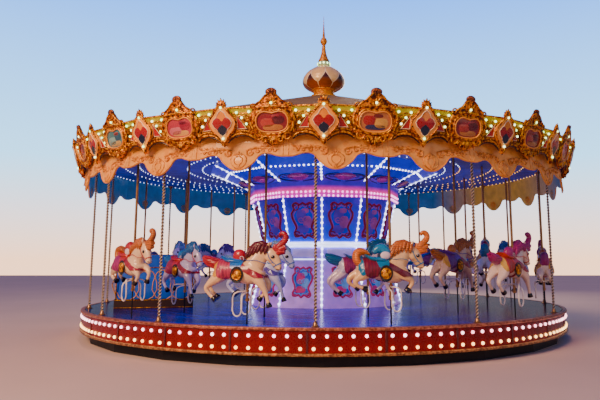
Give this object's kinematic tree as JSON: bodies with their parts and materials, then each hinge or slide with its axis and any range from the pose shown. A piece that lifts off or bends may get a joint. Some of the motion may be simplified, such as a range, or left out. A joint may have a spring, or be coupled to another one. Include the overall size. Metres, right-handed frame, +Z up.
{
  "type": "fairground carousel",
  "caption": "Round galloper ride: a turning platform with rings of leaping horses, a bench carriage, a tapered centre drum, a carved crown, a cone roof and an onion dome.",
  "frame": {"origin": "on the ground, on the axis of the turntable", "axes": "+Z up along the turntable's axis, -Y towards the front of the picture's view, +X to its right"},
  "size_m": [10.7276, 10.6728, 7.225],
  "materials": {
    "frame_black": "satin black paint",
    "deck_blue": "gloss blue paint on boards",
    "skirt_red": "gloss red paint",
    "trim_gold": "gold paint, polished",
    "drum_lilac": "gloss lilac gelcoat",
    "drum_white": "gloss white gelcoat",
    "drum_blue": "gloss blue gelcoat",
    "drum_pink": "gloss pink gelcoat",
    "ceiling_blue": "gloss dark blue",
    "crown_gold": "antique gold paint on carving",
    "valance_cream": "cream and peach paint",
    "roof_brown": "satin golden brown panels",
    "dome_cream": "cream and brown paint",
    "lamp_green": "frosted lamps",
    "pole_brass": "polished brass",
    "horse_cream": "gloss painted glass fibre",
    "carriage_wood": "dark stained wood",
    "carriage_blue": "gloss blue gelcoat",
    "seat_red": "padded red cover"
  },
  "bodies": {
    "base": {"plinth": "frame_black", "ground_frame": "frame_black"},
    "turntable": {"turntable_frame": "frame_black", "deck": "deck_blue", "skirt": "skirt_red", "skirt_top_trim": "trim_gold", "skirt_bottom_trim": "trim_gold", "drum_lower": "drum_lilac", "drum_waist": "drum_white", "drum_upper": "drum_blue", "drum_belt": "drum_pink", "drum_flare": "drum_blue", "ceiling": "ceiling_blue", "crown_boards": "crown_gold", "valance": "valance_cream", "roof": "roof_brown", "dome_neck": "trim_gold", "dome": "dome_cream", "spire_lamp_ring": "lamp_green", "spire": "trim_gold", "carriage_floor": "carriage_wood", "carriage_body": "carriage_blue", "carriage_seat": "seat_red", "rim_pole_01": "pole_brass", "rim_pole_02": "pole_brass", "rim_pole_03": "pole_brass", "rim_pole_04": "pole_brass", "rim_pole_05": "pole_brass", "rim_pole_06": "pole_brass", "rim_pole_07": "pole_brass", "rim_pole_08": "pole_brass", "rim_pole_09": "pole_brass", "rim_pole_10": "pole_brass", "rim_pole_11": "pole_brass", "rim_pole_12": "pole_brass", "rim_pole_13": "pole_brass"},
    "horse_01": {"horse_01": "horse_cream"},
    "horse_02": {"horse_02": "horse_cream"},
    "horse_03": {"horse_03": "horse_cream"},
    "horse_04": {"horse_04": "horse_cream"},
    "horse_05": {"horse_05": "horse_cream"},
    "horse_06": {"horse_06": "horse_cream"},
    "horse_07": {"horse_07": "horse_cream"},
    "horse_08": {"horse_08": "horse_cream"},
    "horse_09": {"horse_09": "horse_cream"},
    "horse_10": {"horse_10": "horse_cream"},
    "horse_11": {"horse_11": "horse_cream"},
    "horse_12": {"horse_12": "horse_cream"},
    "horse_13": {"horse_13": "horse_cream"},
    "horse_14": {"horse_14": "horse_cream"},
    "horse_15": {"horse_15": "horse_cream"},
    "horse_16": {"horse_16": "horse_cream"},
    "horse_17": {"horse_17": "horse_cream"},
    "horse_18": {"horse_18": "horse_cream"},
    "horse_19": {"horse_19": "horse_cream"},
    "horse_20": {"horse_20": "horse_cream"},
    "horse_21": {"horse_21": "horse_cream"},
    "horse_22": {"horse_22": "horse_cream"}
  },
  "joints": [
    {"name": "carousel_spin", "type": "hinge", "parent": "base", "child": "turntable", "pos_m": [0, 0, 0], "axis": [0, 0, 1], "continuous": true},
    {"name": "horse_01_lift", "type": "slide", "parent": "turntable", "child": "horse_01", "axis": [0, 0, 1], "range_m": [-0.06, 0.24]},
    {"name": "horse_02_lift", "type": "slide", "parent": "turntable", "child": "horse_02", "axis": [0, 0, 1], "range_m": [-0.08, 0.22]},
    {"name": "horse_03_lift", "type": "slide", "parent": "turntable", "child": "horse_03", "axis": [0, 0, 1], "range_m": [-0.12, 0.18]},
    {"name": "horse_04_lift", "type": "slide", "parent": "turntable", "child": "horse_04", "axis": [0, 0, 1], "range_m": [-0.06, 0.24]},
    {"name": "horse_05_lift", "type": "slide", "parent": "turntable", "child": "horse_05", "axis": [0, 0, 1], "range_m": [-0.22, 0.08]},
    {"name": "horse_06_lift", "type": "slide", "parent": "turntable", "child": "horse_06", "axis": [0, 0, 1], "range_m": [-0.1, 0.2]},
    {"name": "horse_07_lift", "type": "slide", "parent": "turntable", "child": "horse_07", "axis": [0, 0, 1], "range_m": [-0.24, 0.06]},
    {"name": "horse_08_lift", "type": "slide", "parent": "turntable", "child": "horse_08", "axis": [0, 0, 1], "range_m": [-0.09, 0.21]},
    {"name": "horse_09_lift", "type": "slide", "parent": "turntable", "child": "horse_09", "axis": [0, 0, 1], "range_m": [-0.2, 0.1]},
    {"name": "horse_10_lift", "type": "slide", "parent": "turntable", "child": "horse_10", "axis": [0, 0, 1], "range_m": [-0.12, 0.18]},
    {"name": "horse_11_lift", "type": "slide", "parent": "turntable", "child": "horse_11", "axis": [0, 0, 1], "range_m": [-0.15, 0.15]},
    {"name": "horse_12_lift", "type": "slide", "parent": "turntable", "child": "horse_12", "axis": [0, 0, 1], "range_m": [-0.07, 0.23]},
    {"name": "horse_13_lift", "type": "slide", "parent": "turntable", "child": "horse_13", "axis": [0, 0, 1], "range_m": [-0.1, 0.2]},
    {"name": "horse_14_lift", "type": "slide", "parent": "turntable", "child": "horse_14", "axis": [0, 0, 1], "range_m": [-0.18, 0.12]},
    {"name": "horse_15_lift", "type": "slide", "parent": "turntable", "child": "horse_15", "axis": [0, 0, 1], "range_m": [-0.23, 0.07]},
    {"name": "horse_16_lift", "type": "slide", "parent": "turntable", "child": "horse_16", "axis": [0, 0, 1], "range_m": [-0.08, 0.22]},
    {"name": "horse_17_lift", "type": "slide", "parent": "turntable", "child": "horse_17", "axis": [0, 0, 1], "range_m": [-0.21, 0.09]},
    {"name": "horse_18_lift", "type": "slide", "parent": "turntable", "child": "horse_18", "axis": [0, 0, 1], "range_m": [-0.09, 0.21]},
    {"name": "horse_19_lift", "type": "slide", "parent": "turntable", "child": "horse_19", "axis": [0, 0, 1], "range_m": [-0.22, 0.08]},
    {"name": "horse_20_lift", "type": "slide", "parent": "turntable", "child": "horse_20", "axis": [0, 0, 1], "range_m": [-0.17, 0.13]},
    {"name": "horse_21_lift", "type": "slide", "parent": "turntable", "child": "horse_21", "axis": [0, 0, 1], "range_m": [-0.19, 0.11]},
    {"name": "horse_22_lift", "type": "slide", "parent": "turntable", "child": "horse_22", "axis": [0, 0, 1], "range_m": [-0.08, 0.22]}
  ]
}
